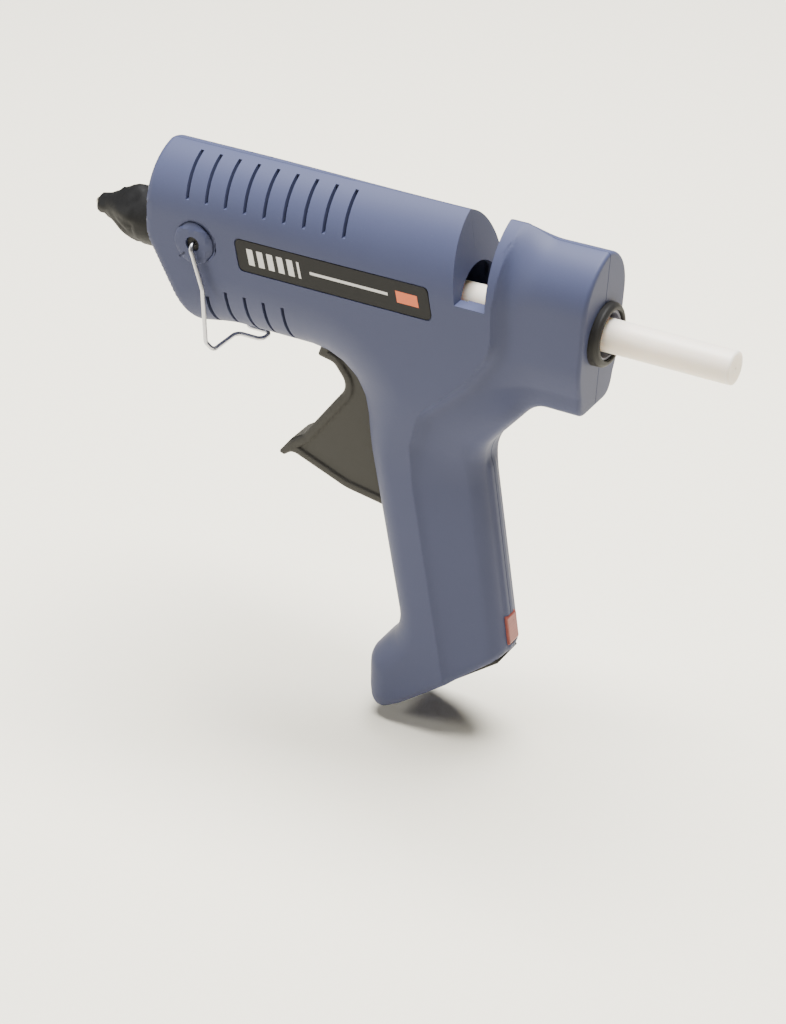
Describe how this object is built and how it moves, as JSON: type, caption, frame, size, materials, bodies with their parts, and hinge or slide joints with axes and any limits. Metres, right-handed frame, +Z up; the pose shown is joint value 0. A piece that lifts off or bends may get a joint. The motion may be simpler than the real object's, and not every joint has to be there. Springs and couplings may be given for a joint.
{
  "type": "glue gun",
  "caption": "Cordless hot-melt glue gun with a slanted pistol grip, trigger feed, wire stand and an 11 mm glue stick loaded from the tail.",
  "frame": {"origin": "under the middle of the gun, on its centre plane, level with the lowest point of the handle's toe", "axes": "+X back along the glue stick, away from the nozzle; +Y to the gun's right side; +Z up, square to the glue stick"},
  "size_m": [0.237, 0.0386, 0.1954],
  "materials": {
    "blue_plastic": "satin moulded, fine texture",
    "black_plastic": "satin moulded",
    "trigger_plastic": "matte charcoal",
    "label_film": "printed film",
    "silicone": "heat-proof silicone",
    "nozzle_metal": "nickelled",
    "cast_alloy": "die cast",
    "ptc_ceramic": "fired",
    "brass_sheet": "sheet",
    "film": "insulating film",
    "spring_steel": "bright drawn",
    "fuse_body": "coated",
    "ring_grey": "satin",
    "glue": "translucent hot-melt glue",
    "screw_steel": "zinc plated",
    "lens_red": "translucent red",
    "lamp_glass": "clear",
    "board": "laminate",
    "lead_sleeve": "glass-fibre braid",
    "clear_nylon": "nylon"
  },
  "bodies": {
    "housing": {"left_shell": "blue_plastic", "right_shell": "blue_plastic", "shell_screws": "screw_steel", "left_label": "label_film", "right_label": "label_film", "nozzle": "nozzle_metal", "nozzle_sleeve": "silicone", "front_ring": "black_plastic", "melt_chamber": "cast_alloy", "ptc_elements": "ptc_ceramic", "electrode_plates": "brass_sheet", "insulation_film": "film", "heater_clip": "spring_steel", "thermal_fuse": "fuse_body", "inlet_sleeve": "silicone", "sleeve_clamp": "spring_steel", "stick_ring": "black_plastic", "ring_lining": "ring_grey", "stick_guide": "clear_nylon", "spring_rod": "spring_steel", "return_spring": "spring_steel", "trigger_pin": "screw_steel", "stand_bushes": "black_plastic", "foot_plate": "black_plastic", "contact_block": "black_plastic", "contact_sleeves": "brass_sheet", "indicator_lens": "lens_red", "circuit_board": "board", "indicator_lamp": "lamp_glass", "heater_lead_left": "lead_sleeve", "heater_lead_right": "lead_sleeve"},
    "trigger": {"trigger": "trigger_plastic"},
    "carriage": {"carriage": "clear_nylon", "jaw_pin": "screw_steel"},
    "jaw": {"grip_jaw": "screw_steel"},
    "stick": {"glue_stick": "glue"},
    "stand": {"wire_stand": "spring_steel"}
  },
  "joints": [
    {"name": "trigger_pull", "type": "hinge", "parent": "housing", "child": "trigger", "pos_m": [-0.0085, 0, 0.1472], "axis": [0, -1, 0], "range_deg": [0, 22], "stiffness_Nm_per_rad": 0.25, "springref_deg": -34.38, "deforming": ["return_spring"]},
    {"name": "carriage_feed", "type": "slide", "parent": "housing", "child": "carriage", "axis": [-1, 0, 0], "range_m": [0, 0.01108]},
    {"name": "jaw_bite", "type": "hinge", "parent": "carriage", "child": "jaw", "pos_m": [0.00454, 0, 0.1568], "axis": [0, 1, 0], "range_deg": [0, 4.2]},
    {"name": "stick_feed", "type": "slide", "parent": "housing", "child": "stick", "axis": [-1, 0, 0], "range_m": [0, 0.01108]},
    {"name": "stand_swing", "type": "hinge", "parent": "housing", "child": "stand", "pos_m": [-0.0687, 0, 0.1672], "axis": [0, 1, 0], "range_deg": [-9, 75]}
  ],
  "couplings": [
    {"joint": "carriage_feed", "follows": "trigger_pull", "m_per_rad": 0.028349},
    {"joint": "jaw_bite", "follows": "trigger_pull", "ratio": 0.18182},
    {"joint": "stick_feed", "follows": "trigger_pull", "m_per_rad": 0.028349}
  ]
}
